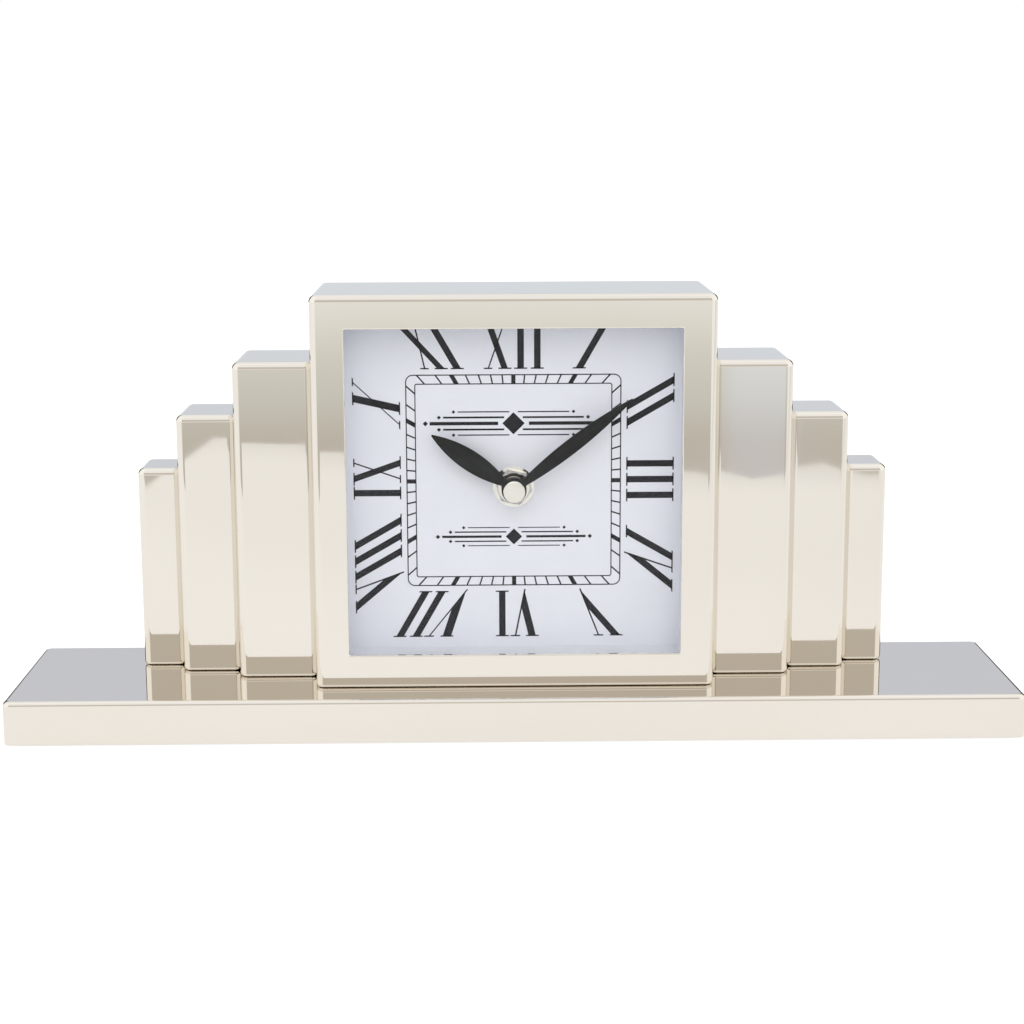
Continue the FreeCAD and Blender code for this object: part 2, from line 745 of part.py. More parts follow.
def hand_blade(length, width, widest_at, y):
    """Leaf-shaped blade that points up: two arcs, and a low ridge along the middle of its front."""
    root_z = hub_radius - 0.5
    root = hand_root_width / 2
    tip = hand_tip_width / 2
    sides = []
    for sign in (1, -1):
        arc = Part.Arc(Vec(sign * root, y, root_z), Vec(sign * width / 2, y, widest_at),
                       Vec(sign * tip, y, length))
        sides.append(arc.toShape())
    tip_line = Part.makeLine(Vec(tip, y, length), Vec(-tip, y, length))
    root_line = Part.makeLine(Vec(-root, y, root_z), Vec(root, y, root_z))
    wire = Part.Wire(Part.__sortEdges__([sides[0], tip_line, sides[1], root_line]))
    prism = Part.Face(wire).extrude(Vec(0, hand_thickness + hand_ridge, 0))
    prism.translate(Vec(0, -hand_ridge, 0))
    roof_points = (
        (0.0, y - hand_ridge),
        (width / 2 + 0.5, y + 0.05),
        (width / 2 + 0.5, y + hand_thickness),
        (-width / 2 - 0.5, y + hand_thickness),
        (-width / 2 - 0.5, y + 0.05),
        (0.0, y - hand_ridge),
    )
    roof = Part.Face(Part.makePolygon([Vec(x, depth, root_z - 1.0) for x, depth in roof_points]))
    return prism.common(roof.extrude(Vec(0, 0, length + 2.0)))


def hand(length, width, widest_at, y, hole_radius, turn):
    """A leaf hand with a round hub, turned clockwise as seen from the front."""
    blade = hand_blade(length, width, widest_at, y)
    hub = Part.makeCylinder(hub_radius, hand_thickness, Vec(0, y, 0), Vec(0, 1, 0))
    hole = Part.makeCylinder(hole_radius, 2.0, Vec(0, y - 0.5, 0), Vec(0, 1, 0))
    shape = blade.fuse(hub).removeSplitter().cut(hole)
    shape.rotate(Vec(0, 0, 0), Vec(0, 1, 0), turn)
    shape.translate(Vec(0, 0, axis_z))
    return shape


def hour_hand():
    hole = bushing_bore - running_gap - hour_nose_step + 0.01
    return hand(hour_length, hour_hand_width, hour_widest_at, hour_hand_y, hole, hour_hand_turn)


def minute_hand():
    hole = minute_thread_radius + 0.01
    return hand(minute_length, minute_hand_width, minute_widest_at, minute_hand_y, hole, minute_hand_turn)


def hand_cap():
    cap = rod(cap_radius, cap_front_y, minute_hand_y)
    cap = cap.makeFillet(0.35, edges_at_depth(cap, cap_front_y))
    return cap.cut(rod(minute_thread_radius + 0.01, minute_hand_y - 2.4, minute_hand_y + 1.0))


def all_nodes():
    bobbin, winding = coil_parts()
    nodes = {
        "base_shell": base_shell(),
        "base_plate": base_plate(),
        "base_plate_screws": base_plate_screws(),
        "base_felt": base_felt(),
        "case_shell": case_shell(),
        "case_screws": frame_screws(case_screw_places),
        "column_screws": frame_screws(all_column_screw_places()),
        "frame_washers": frame_washers(),
        "glass_pane": glass_pane(),
        "dial_surround": dial_surround(),
        "dial_plate": dial_plate(),
        "dial_screws": dial_screws(),
        "back_cover": back_cover(),
        "back_cover_screws": back_cover_screws(),
        "movement_front_shell": movement_front_shell(),
        "movement_back_shell": movement_back_shell(),
        "rubber_washer": rubber_washer(),
        "dial_washer": dial_washer(),
        "dial_nut": dial_nut(),
        "hour_wheel": hour_wheel(),
        "cannon_pinion": cannon_pinion(),
        "minute_work_wheel": minute_work_wheel(),
        "setting_knob": setting_knob(),
        "centre_wheel": centre_wheel(),
        "third_wheel": train_wheel("third", third_teeth, train_module, third_place, third_layer,
                                   train_leaves, train_module, centre_layer),
        "seconds_wheel": train_wheel("seconds", seconds_teeth, train_module, seconds_place, seconds_layer,
                                     train_leaves, train_module, third_layer),
        "intermediate_wheel": train_wheel("intermediate", intermediate_teeth, fine_module, intermediate_place,
                                          intermediate_layer, intermediate_leaves, train_module,
                                          seconds_layer),
        "rotor_pinion": rotor_pinion(),
        "rotor_magnet": rotor_magnet(),
        "stator": stator(),
        "coil_core": coil_core(),
        "coil_rivets": coil_rivets(),
        "coil_bobbin": bobbin,
        "coil_winding": winding,
        "circuit_board": circuit_board(),
        "quartz_crystal": quartz_crystal(),
        "battery_contacts": battery_contacts(),
        "battery": battery(),
        "hour_hand": hour_hand(),
        "minute_hand": minute_hand(),
        "hand_cap": hand_cap(),
    }
    for side, side_name in ((-1, "left"), (1, "right")):
        for index, column in enumerate(columns):
            nodes[side_name + "_" + column[0] + "_column"] = column_shell(index, side)
    return nodes


os.makedirs("parts", exist_ok=True)
for node_name, shape in all_nodes().items():
    shape.exportStep("parts/" + node_name + ".step")
    print(node_name, "solids", len(shape.Solids), "valid", shape.isValid(), "volume", round(shape.Volume, 1))
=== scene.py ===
import json
import math

import bmesh
import bpy
from mathutils import Matrix, Vector


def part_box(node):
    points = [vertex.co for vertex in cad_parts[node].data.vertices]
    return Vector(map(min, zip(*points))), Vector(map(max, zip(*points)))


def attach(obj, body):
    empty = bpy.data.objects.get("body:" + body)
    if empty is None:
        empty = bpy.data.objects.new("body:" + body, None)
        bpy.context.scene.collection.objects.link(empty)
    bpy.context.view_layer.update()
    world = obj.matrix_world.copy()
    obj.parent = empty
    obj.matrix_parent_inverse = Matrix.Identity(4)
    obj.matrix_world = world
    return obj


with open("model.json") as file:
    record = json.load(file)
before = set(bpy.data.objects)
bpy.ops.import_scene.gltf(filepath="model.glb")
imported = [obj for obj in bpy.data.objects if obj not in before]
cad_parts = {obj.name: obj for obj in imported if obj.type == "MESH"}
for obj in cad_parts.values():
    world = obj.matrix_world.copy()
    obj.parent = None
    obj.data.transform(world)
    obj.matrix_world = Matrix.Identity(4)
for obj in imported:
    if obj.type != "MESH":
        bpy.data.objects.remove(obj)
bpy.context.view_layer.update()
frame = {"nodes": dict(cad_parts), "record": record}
print("clock frame loaded, nodes:", len(frame["nodes"]))

mm = 0.001


def addNode(tree, kind, x, y, **settings):
    node = tree.nodes.new(kind)
    node.location = (x, y)
    for name, value in settings.items():
        setattr(node, name, value)
    return node


def feed(tree, source, target):
    # a plain value is set on the socket, a socket is linked
    if isinstance(source, bpy.types.NodeSocket):
        tree.links.new(source, target)
    else:
        target.default_value = source


def calc(tree, operation, x, y, first, second=0.0, third=0.0):
    node = addNode(tree, "ShaderNodeMath", x, y, operation=operation)
    for index, value in enumerate((first, second, third)):
        feed(tree, value, node.inputs[index])
    return node.outputs[0]


def remap(tree, x, y, value, fromMin, fromMax, toMin=0.0, toMax=1.0, smooth=False):
    node = addNode(tree, "ShaderNodeMapRange", x, y)
    if smooth:
        node.interpolation_type = "SMOOTHSTEP"
    for index, number in enumerate((value, fromMin, fromMax, toMin, toMax)):
        feed(tree, number, node.inputs[index])
    return node.outputs[0]


def mixColors(tree, x, y, factor, first, second):
    node = addNode(tree, "ShaderNodeMix", x, y, data_type="RGBA")
    feed(tree, factor, node.inputs[0])
    feed(tree, first, node.inputs[6])
    feed(tree, second, node.inputs[7])
    return node.outputs[2]


def colorStops(tree, x, y, factor, stops, interpolation="LINEAR"):
    node = addNode(tree, "ShaderNodeValToRGB", x, y)
    ramp = node.color_ramp
    ramp.interpolation = interpolation
    while len(ramp.elements) > 1:
        ramp.elements.remove(ramp.elements[-1])
    for index, (place, color) in enumerate(stops):
        element = ramp.elements[0] if index == 0 else ramp.elements.new(place)
        element.position = place
        element.color = (*color, 1.0)
    feed(tree, factor, node.inputs[0])
    return node.outputs[0]


def newGroup(name, inputs, outputs):
    group = bpy.data.node_groups.new(name, "ShaderNodeTree")
    for label, kind, value in inputs:
        socket = group.interface.new_socket(name=label, in_out="INPUT", socket_type="NodeSocket" + kind)
        socket.default_value = value
    for label, kind in outputs:
        group.interface.new_socket(name=label, in_out="OUTPUT", socket_type="NodeSocket" + kind)
    start = addNode(group, "NodeGroupInput", -900, 0)
    end = addNode(group, "NodeGroupOutput", 900, 0)
    return group, start, end


def useGroup(tree, group, x, y, **values):
    node = addNode(tree, "ShaderNodeGroup", x, y, node_tree=group)
    for label, value in values.items():
        feed(tree, value, node.inputs[label])
    return node


def makeCloudGroup():
    # slow uneven patches: fingermarks on metal, fading in plastic
    noiseSpan = (0.32, 0.68)  # the useful part of the noise
    group, start, end = newGroup(
        "cloudPatches",
        [("Scale", "Float", 20.0), ("Detail", "Float", 3.0), ("Low", "Float", 0.0), ("High", "Float", 1.0)],
        [("Value", "Float")])
    coords = addNode(group, "ShaderNodeTexCoord", -700, -200)
    noise = addNode(group, "ShaderNodeTexNoise", -450, 0)
    group.links.new(coords.outputs["Object"], noise.inputs["Vector"])
    group.links.new(start.outputs["Scale"], noise.inputs["Scale"])
    group.links.new(start.outputs["Detail"], noise.inputs["Detail"])
    value = remap(group, -200, 0, noise.outputs[0], *noiseSpan, start.outputs["Low"],
                  start.outputs["High"], True)
    group.links.new(value, end.inputs["Value"])
    return group


def makeEdgeGroup():
    # mask along sharp edges, where handling rubs the finish
    facingSpan = (0.995, 0.8)  # how far the rounded normal turns away on an edge
    breakupSpan = (0.35, 0.6)
    group, start, end = newGroup(
        "rubbedEdges",
        [("Radius", "Float", 0.0004), ("Breakup", "Float", 400.0), ("Amount", "Float", 0.5)],
        [("Mask", "Float")])
    rounded = addNode(group, "ShaderNodeBevel", -650, 100, samples=4)
    group.links.new(start.outputs["Radius"], rounded.inputs["Radius"])
    geometry = addNode(group, "ShaderNodeNewGeometry", -650, -100)
    facing = addNode(group, "ShaderNodeVectorMath", -450, 0, operation="DOT_PRODUCT")
    group.links.new(rounded.outputs["Normal"], facing.inputs[0])
    group.links.new(geometry.outputs["Normal"], facing.inputs[1])
    edge = remap(group, -250, 0, facing.outputs["Value"], *facingSpan)
    coords = addNode(group, "ShaderNodeTexCoord", -650, -350)
    noise = addNode(group, "ShaderNodeTexNoise", -450, -300)
    group.links.new(coords.outputs["Object"], noise.inputs["Vector"])
    group.links.new(start.outputs["Breakup"], noise.inputs["Scale"])
    broken = remap(group, -250, -300, noise.outputs[0], *breakupSpan)
    mask = calc(group, "MULTIPLY", 0, 0, edge, broken)
    mask = calc(group, "MULTIPLY", 200, 0, mask, start.outputs["Amount"])
    group.links.new(mask, end.inputs["Mask"])
    return group


def makeGrainGroup():
    # fine grain, drawn out along one axis when the stretch is uneven
    group, start, end = newGroup(
        "fineGrain",
        [("Scale", "Float", 2500.0), ("Stretch", "Vector", (1.0, 1.0, 1.0)), ("Roughness", "Float", 0.6)],
        [("Height", "Float")])
    coords = addNode(group, "ShaderNodeTexCoord", -700, 0)
    stretched = addNode(group, "ShaderNodeVectorMath", -500, 0, operation="MULTIPLY")
    group.links.new(coords.outputs["Object"], stretched.inputs[0])
    group.links.new(start.outputs["Stretch"], stretched.inputs[1])
    noise = addNode(group, "ShaderNodeTexNoise", -250, 0)
    noise.inputs["Detail"].default_value = 4.0
    group.links.new(stretched.outputs[0], noise.inputs["Vector"])
    group.links.new(start.outputs["Scale"], noise.inputs["Scale"])
    group.links.new(start.outputs["Roughness"], noise.inputs["Roughness"])
    group.links.new(noise.outputs[0], end.inputs["Height"])
    return group


def makeDustGroup():
    # thin dust that settles on faces that look up
    upwardSpan = (0.55, 1.0)
    speckSpan = (0.5, 0.72)
    group, start, end = newGroup("settledDust", [("Scale", "Float", 600.0), ("Amount", "Float", 0.2)],
                                 [("Mask", "Float")])
    geometry = addNode(group, "ShaderNodeNewGeometry", -700, 0)
    split = addNode(group, "ShaderNodeSeparateXYZ", -500, 0)
    group.links.new(geometry.outputs["Normal"], split.inputs[0])
    upward = remap(group, -300, 0, split.outputs[2], *upwardSpan)
    coords = addNode(group, "ShaderNodeTexCoord", -700, -300)
    noise = addNode(group, "ShaderNodeTexNoise", -500, -300)
    group.links.new(coords.outputs["Object"], noise.inputs["Vector"])
    group.links.new(start.outputs["Scale"], noise.inputs["Scale"])
    specks = remap(group, -300, -300, noise.outputs[0], *speckSpan)
    mask = calc(group, "MULTIPLY", 0, 0, upward, specks)
    mask = calc(group, "MULTIPLY", 200, 0, mask, start.outputs["Amount"])
    group.links.new(mask, end.inputs["Mask"])
    return group


cloudPatches = makeCloudGroup()
rubbedEdges = makeEdgeGroup()
fineGrain = makeGrainGroup()
settledDust = makeDustGroup()
print("shared effects ready")


dustColor = (0.62, 0.6, 0.57)
coatRoughness = 0.05


def makeFinish(name, look):
    # the common build: two tones in patches, rubbed edges, uneven sheen and a fine grain in the surface
    material = bpy.data.materials.new(name)
    material.use_nodes = True
    tree = material.node_tree
    shader = tree.nodes["Principled BSDF"]
    shader.location = (500, 0)
    patches = useGroup(tree, cloudPatches, -700, 200, Scale=look["patchScale"])
    edges = useGroup(tree, rubbedEdges, -700, -50, Radius=look.get("edgeRadius", 0.0004),
                     Amount=look.get("edgeAmount", 0.4))
    color = mixColors(tree, -400, 250, patches.outputs["Value"],
                      (*look["color"], 1.0), (*look["patchColor"], 1.0))
    color = mixColors(tree, -150, 250, edges.outputs["Mask"], color, (*look["edgeColor"], 1.0))
    if look.get("dust", 0.0) > 0.0:
        dust = useGroup(tree, settledDust, -700, 450, Amount=look["dust"])
        color = mixColors(tree, 100, 250, dust.outputs["Mask"], color, (*dustColor, 1.0))
    feed(tree, color, shader.inputs["Base Color"])
    sheen = useGroup(tree, cloudPatches, -700, -300, Scale=look.get("sheenScale", 60.0), Detail=5.0,
                     Low=look["roughness"][0], High=look["roughness"][1])
    feed(tree, sheen.outputs["Value"], shader.inputs["Roughness"])
    shader.inputs["Metallic"].default_value = look.get("metallic", 0.0)
    shader.inputs["Specular IOR Level"].default_value = look.get("gloss", 0.5)
    if "coat" in look:
        shader.inputs["Coat Weight"].default_value = look["coat"]
        shader.inputs["Coat Roughness"].default_value = coatRoughness
    grain = useGroup(tree, fineGrain, -700, -550, Scale=look.get("grainScale", 2500.0),
                     Stretch=look.get("stretch", (1.0, 1.0, 1.0)))
    bump = addNode(tree, "ShaderNodeBump", 200, -400)
    bump.inputs["Strength"].default_value = look.get("grainStrength", 0.3)
    bump.inputs["Distance"].default_value = look.get("grainDepth", 0.00002)
    feed(tree, grain.outputs["Height"], bump.inputs["Height"])
    feed(tree, bump.outputs[0], shader.inputs["Normal"])
    return material


def partsOf(material):
    tree = material.node_tree
    return tree, tree.nodes["Principled BSDF"]


polishedNickelLook = {
    "color": (0.842, 0.8, 0.735), "patchColor": (0.832, 0.788, 0.72), "patchScale": 14.0,
    "edgeColor": (0.9, 0.87, 0.82), "edgeAmount": 0.35, "edgeRadius": 0.0005,
    "roughness": (0.022, 0.05), "sheenScale": 35.0, "metallic": 1.0,
    "grainScale": 60.0, "grainStrength": 0.04, "grainDepth": 0.00002,
}
brightNickelLook = {
    "color": (0.84, 0.81, 0.76), "patchColor": (0.8, 0.76, 0.7), "patchScale": 90.0,
    "edgeColor": (0.93, 0.91, 0.88), "edgeAmount": 0.6, "edgeRadius": 0.0002,
    "roughness": (0.06, 0.14), "metallic": 1.0, "grainScale": 900.0, "grainStrength": 0.15,
    "grainDepth": 0.00001,
}
zincSteelLook = {
    "color": (0.62, 0.63, 0.66), "patchColor": (0.55, 0.57, 0.6), "patchScale": 220.0,
    "edgeColor": (0.78, 0.78, 0.8), "edgeAmount": 0.6, "edgeRadius": 0.0002,
    "roughness": (0.24, 0.4), "metallic": 1.0, "grainScale": 1800.0, "grainStrength": 0.35,
}
coverBlackLook = {
    "color": (0.018, 0.018, 0.019), "patchColor": (0.024, 0.024, 0.025), "patchScale": 30.0,
    "edgeColor": (0.09, 0.09, 0.095), "edgeAmount": 0.5, "edgeRadius": 0.0006,
    "roughness": (0.42, 0.56), "grainScale": 3200.0, "grainStrength": 0.8, "grainDepth": 0.00006,
    "dust": 0.25,
}
movementBlackLook = {
    "color": (0.022, 0.022, 0.024), "patchColor": (0.03, 0.03, 0.032), "patchScale": 60.0,
    "edgeColor": (0.1, 0.1, 0.105), "edgeAmount": 0.45, "edgeRadius": 0.0004,
    "roughness": (0.3, 0.46), "grainScale": 4200.0, "grainStrength": 0.6, "grainDepth": 0.00004, "dust": 0.2,
}
gearWhiteLook = {
    "color": (0.82, 0.82, 0.79), "patchColor": (0.76, 0.76, 0.72), "patchScale": 180.0,
    "edgeColor": (0.92, 0.92, 0.9), "edgeAmount": 0.5, "edgeRadius": 0.00015,
    "roughness": (0.28, 0.4), "grainScale": 5000.0, "grainStrength": 0.25, "grainDepth": 0.00001,
}
rubberLook = {
    "color": (0.025, 0.025, 0.025), "patchColor": (0.04, 0.04, 0.04), "patchScale": 200.0,
    "edgeColor": (0.07, 0.07, 0.07), "edgeAmount": 0.4,
    "roughness": (0.62, 0.8), "grainScale": 3500.0, "grainStrength": 0.6, "grainDepth": 0.00004,
}
ferriteLook = {
    "color": (0.07, 0.068, 0.066), "patchColor": (0.11, 0.105, 0.1), "patchScale": 700.0,
    "edgeColor": (0.17, 0.165, 0.16), "edgeAmount": 0.6, "edgeRadius": 0.00015,
    "roughness": (0.4, 0.55), "metallic": 0.3, "grainScale": 6000.0, "grainStrength": 0.5,
}
softIronLook = {
    "color": (0.5, 0.5, 0.5), "patchColor": (0.42, 0.42, 0.43), "patchScale": 300.0,
    "edgeColor": (0.7, 0.7, 0.7), "edgeAmount": 0.5, "edgeRadius": 0.00015,
    "roughness": (0.3, 0.44), "metallic": 1.0, "grainScale": 1500.0, "stretch": (0.1, 1.0, 1.0),
    "grainStrength": 0.4,
}
bobbinLook = dict(gearWhiteLook, color=(0.72, 0.7, 0.62), patchColor=(0.66, 0.64, 0.56))
boardLook = {
    "color": (0.02, 0.13, 0.05), "patchColor": (0.03, 0.19, 0.075), "patchScale": 900.0,
    "edgeColor": (0.45, 0.42, 0.28), "edgeAmount": 0.7, "edgeRadius": 0.0002,
    "roughness": (0.25, 0.4), "grainScale": 1800.0, "stretch": (1.0, 1.0, 0.15), "grainStrength": 0.5,
    "coat": 0.3,
}
crystalCanLook = {
    "color": (0.78, 0.78, 0.76), "patchColor": (0.7, 0.7, 0.69), "patchScale": 500.0,
    "edgeColor": (0.88, 0.88, 0.87), "edgeAmount": 0.5, "edgeRadius": 0.0001,
    "roughness": (0.16, 0.28), "metallic": 1.0, "grainScale": 4000.0, "stretch": (1.0, 1.0, 0.1),
    "grainStrength": 0.3,
}
contactSteelLook = {
    "color": (0.72, 0.71, 0.68), "patchColor": (0.62, 0.61, 0.58), "patchScale": 350.0,
    "edgeColor": (0.85, 0.84, 0.82), "edgeAmount": 0.6, "edgeRadius": 0.00015,
    "roughness": (0.2, 0.34), "metallic": 1.0, "grainScale": 2500.0, "stretch": (1.0, 0.12, 1.0),
    "grainStrength": 0.4,
}
handBlackLook = {
    "color": (0.006, 0.006, 0.007), "patchColor": (0.01, 0.01, 0.011), "patchScale": 120.0,
    "edgeColor": (0.06, 0.06, 0.062), "edgeAmount": 0.4, "edgeRadius": 0.00025,
    "roughness": (0.3, 0.42), "gloss": 0.2, "grainScale": 3000.0, "grainStrength": 0.25,
    "grainDepth": 0.00001,
}
printInkLook = {
    "color": (0.014, 0.014, 0.018), "patchColor": (0.02, 0.02, 0.025), "patchScale": 800.0,
    "edgeColor": (0.06, 0.06, 0.066), "edgeAmount": 0.3, "edgeRadius": 0.00003,
    "roughness": (0.5, 0.62), "gloss": 0.15, "grainScale": 9000.0, "grainStrength": 0.2,
    "grainDepth": 0.000004,
}


dialSilverLook = {  # satin silver lacquer over brushed metal
    "color": (0.79, 0.796, 0.868), "patchColor": (0.778, 0.784, 0.857), "patchScale": 40.0,
    "edgeColor": (0.88, 0.89, 0.92), "edgeAmount": 0.3, "edgeRadius": 0.0003,
    "roughness": (0.42, 0.5), "metallic": 0.1, "gloss": 0.3,
    "grainScale": 2600.0, "stretch": (1.0, 1.0, 0.04), "grainStrength": 0.25, "grainDepth": 0.00001,
}
surroundSilverLook = dict(dialSilverLook, color=(0.79, 0.797, 0.842), patchColor=(0.778, 0.785, 0.83),
                          stretch=(1.0, 0.05, 1.0))


def makeGlass():
    material = bpy.data.materials.new("clearGlass")
    material.use_nodes = True
    tree, shader = partsOf(material)
    look = {"ior": 1.22, "tint": (0.985, 0.995, 0.99), "edgeTint": (0.8, 0.9, 0.87),
            "edgeRadius": 0.0002, "edgeAmount": 0.25, "smear": (0.0, 0.012), "smearScale": 25.0}
    shader.inputs["Metallic"].default_value = 0.0
    shader.inputs["Transmission Weight"].default_value = 1.0
    shader.inputs["IOR"].default_value = look["ior"]
    edges = useGroup(tree, rubbedEdges, -700, 0, Radius=look["edgeRadius"], Amount=look["edgeAmount"])
    color = mixColors(tree, -300, 100, edges.outputs["Mask"],
                      (*look["tint"], 1.0), (*look["edgeTint"], 1.0))
    feed(tree, color, shader.inputs["Base Color"])
    smear = useGroup(tree, cloudPatches, -700, -250, Scale=look["smearScale"],
                     Low=look["smear"][0], High=look["smear"][1])
    feed(tree, smear.outputs["Value"], shader.inputs["Roughness"])
    lightPath = addNode(tree, "ShaderNodeLightPath", 300, 300)
    clear = addNode(tree, "ShaderNodeBsdfTransparent", 300, -300)
    choose = addNode(tree, "ShaderNodeMixShader", 700, 0)
    output = tree.nodes["Material Output"]
    tree.links.new(lightPath.outputs["Is Shadow Ray"], choose.inputs[0])
    tree.links.new(shader.outputs[0], choose.inputs[1])
    tree.links.new(clear.outputs[0], choose.inputs[2])
    tree.links.new(choose.outputs[0], output.inputs["Surface"])
    return material


def makeFelt():
    # short matted fibres with darker and lighter tufts
    material = makeFinish("feltBlack", {
        "color": (0.012, 0.012, 0.013), "patchColor": (0.028, 0.028, 0.03), "patchScale": 700.0,
        "edgeColor": (0.05, 0.05, 0.052), "edgeAmount": 0.5, "roughness": (0.9, 1.0),
        "grainScale": 1900.0, "stretch": (1.0, 0.35, 1.0), "grainStrength": 1.0, "grainDepth": 0.0003})
    shader = partsOf(material)[1]
    shader.inputs["Sheen Weight"].default_value = 0.5
    shader.inputs["Sheen Roughness"].default_value = 0.6
    return material


def makeFibreboard():
    return makeFinish("fibreboard", {
        "color": (0.24, 0.15, 0.085), "patchColor": (0.31, 0.2, 0.115), "patchScale": 900.0,
        "edgeColor": (0.4, 0.28, 0.17), "edgeAmount": 0.6, "roughness": (0.65, 0.85),
        "grainScale": 2200.0, "stretch": (0.25, 1.0, 1.0), "grainStrength": 0.9, "grainDepth": 0.0001})


def makeWinding():
    # enamelled copper laid turn by turn along the bobbin
    look = {"turnPitch": 0.00016, "turnDepth": 0.00003}
    material = makeFinish("copperWinding", {
        "color": (0.62, 0.23, 0.09), "patchColor": (0.5, 0.17, 0.06), "patchScale": 600.0,
        "edgeColor": (0.75, 0.36, 0.18), "edgeAmount": 0.4, "edgeRadius": 0.0001,
        "roughness": (0.22, 0.34), "metallic": 1.0, "coat": 0.4})
    tree, shader = partsOf(material)
    coords = addNode(tree, "ShaderNodeTexCoord", -700, -800)
    split = addNode(tree, "ShaderNodeSeparateXYZ", -500, -800)
    tree.links.new(coords.outputs["Object"], split.inputs[0])
    turns = calc(tree, "MULTIPLY", -300, -800, split.outputs[0], 2 * math.pi / look["turnPitch"])
    wave = calc(tree, "SINE", -100, -800, turns)
    bump = addNode(tree, "ShaderNodeBump", 200, -800)
    bump.inputs["Distance"].default_value = look["turnDepth"]
    feed(tree, wave, bump.inputs["Height"])
    feed(tree, bump.outputs[0], shader.inputs["Normal"])
    return material


def makeBatteryWrap():
    # printed sleeve in plain bands, bare metal at both ends
    bare, dark = (0.7, 0.69, 0.66), (0.03, 0.03, 0.034)
    silver, copper = (0.55, 0.54, 0.52), (0.72, 0.36, 0.12)
    sleeveStart, bandStart, copperStart, sleeveEnd = 0.022, 0.66, 0.68, 0.94  # share of the cell's length
    material = makeFinish("batteryWrap", {
        "color": (0.03, 0.03, 0.034), "patchColor": (0.04, 0.04, 0.045), "patchScale": 150.0,
        "edgeColor": (0.5, 0.5, 0.5), "edgeAmount": 0.4, "edgeRadius": 0.0002,
        "roughness": (0.2, 0.3), "grainScale": 1200.0, "grainStrength": 0.2, "coat": 0.5})
    tree, shader = partsOf(material)
    low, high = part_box("battery")
    coords = addNode(tree, "ShaderNodeTexCoord", -900, 800)
    split = addNode(tree, "ShaderNodeSeparateXYZ", -700, 800)
    tree.links.new(coords.outputs["Object"], split.inputs[0])
    along = remap(tree, -500, 800, split.outputs[0], low.x, high.x)
    bands = colorStops(tree, -300, 800, along, [
        (0.0, bare), (sleeveStart, dark), (bandStart, silver),
        (copperStart, copper), (sleeveEnd, bare)], "CONSTANT")
    metal = colorStops(tree, -300, 1050, along, [
        (0.0, (1.0, 1.0, 1.0)), (sleeveStart, (0.0, 0.0, 0.0)), (sleeveEnd, (1.0, 1.0, 1.0))], "CONSTANT")
    wear = useGroup(tree, cloudPatches, -300, 600, Scale=260.0, Low=0.0, High=0.12)
    color = mixColors(tree, 0, 800, wear.outputs["Value"], bands, (0.2, 0.2, 0.2, 1.0))
    feed(tree, color, shader.inputs["Base Color"])
    feed(tree, metal, shader.inputs["Metallic"])
    return material


def makeFrontShellFinish():
    # black moulding with the plated bushing that stands out through the dial
    plating, tarnished = (0.6, 0.57, 0.5, 1.0), (0.5, 0.47, 0.4, 1.0)
    seamBehindDial = 0.2 * mm
    material = makeFinish("shellWithBushing", movementBlackLook)
    tree, shader = partsOf(material)
    plain = shader.inputs["Base Color"].links[0].from_socket
    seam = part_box("dial_plate")[1].y + seamBehindDial
    coords = addNode(tree, "ShaderNodeTexCoord", -900, 800)
    split = addNode(tree, "ShaderNodeSeparateXYZ", -700, 800)
    tree.links.new(coords.outputs["Object"], split.inputs[0])
    bushing = calc(tree, "LESS_THAN", -500, 800, split.outputs[1], seam)
    tarnish = useGroup(tree, cloudPatches, -500, 600, Scale=500.0)
    platedColor = mixColors(tree, -250, 600, tarnish.outputs["Value"], plating, tarnished)
    color = mixColors(tree, 250, 600, bushing, plain, platedColor)
    feed(tree, color, shader.inputs["Base Color"])
    feed(tree, bushing, shader.inputs["Metallic"])
    return material


finishes = {
    "polished_nickel": makeFinish("polishedNickel", polishedNickelLook),
    "bright_nickel": makeFinish("brightNickel", brightNickelLook),
    "zinc_steel": makeFinish("zincSteel", zincSteelLook),
    "felt_black": makeFelt(),
    "fibreboard": makeFibreboard(),
    "clear_glass": makeGlass(),
    "dial_silver": makeFinish("dialSilver", dialSilverLook),
    "surround_silver": makeFinish("surroundSilver", surroundSilverLook),
    "cover_black": makeFinish("coverBlack", coverBlackLook),
    "movement_black": makeFinish("movementBlack", movementBlackLook),
    "bushing_brass": makeFrontShellFinish(),
    "gear_white": makeFinish("gearWhite", gearWhiteLook),
    "rubber_black": makeFinish("rubberBlack", rubberLook),
    "ferrite": makeFinish("ferriteMagnet", ferriteLook),
    "soft_iron": makeFinish("softIron", softIronLook),
    "copper_winding": makeWinding(),
    "bobbin_white": makeFinish("bobbinWhite", bobbinLook),
    "board_green": makeFinish("boardGreen", boardLook),
    "crystal_can": makeFinish("crystalCan", crystalCanLook),
    "contact_steel": makeFinish("contactSteel", contactSteelLook),
    "battery_label": makeBatteryWrap(),
    "hand_black": makeFinish("handBlack", handBlackLook),
}
printInk = makeFinish("printInk", printInkLook)
print("finishes ready:", len(finishes) + 1)


def dressNodes():
    slotOf = {part["node"]: part["material_slot"] for part in frame["record"]["subparts"]}
    for name, node in frame["nodes"].items():
        material = finishes[slotOf[name]]
        if name == "movement_front_shell":
            material = finishes["bushing_brass"]
        node.data.materials.clear()
        node.data.materials.append(material)
    print("nodes dressed:", len(frame["nodes"]))


dressNodes()


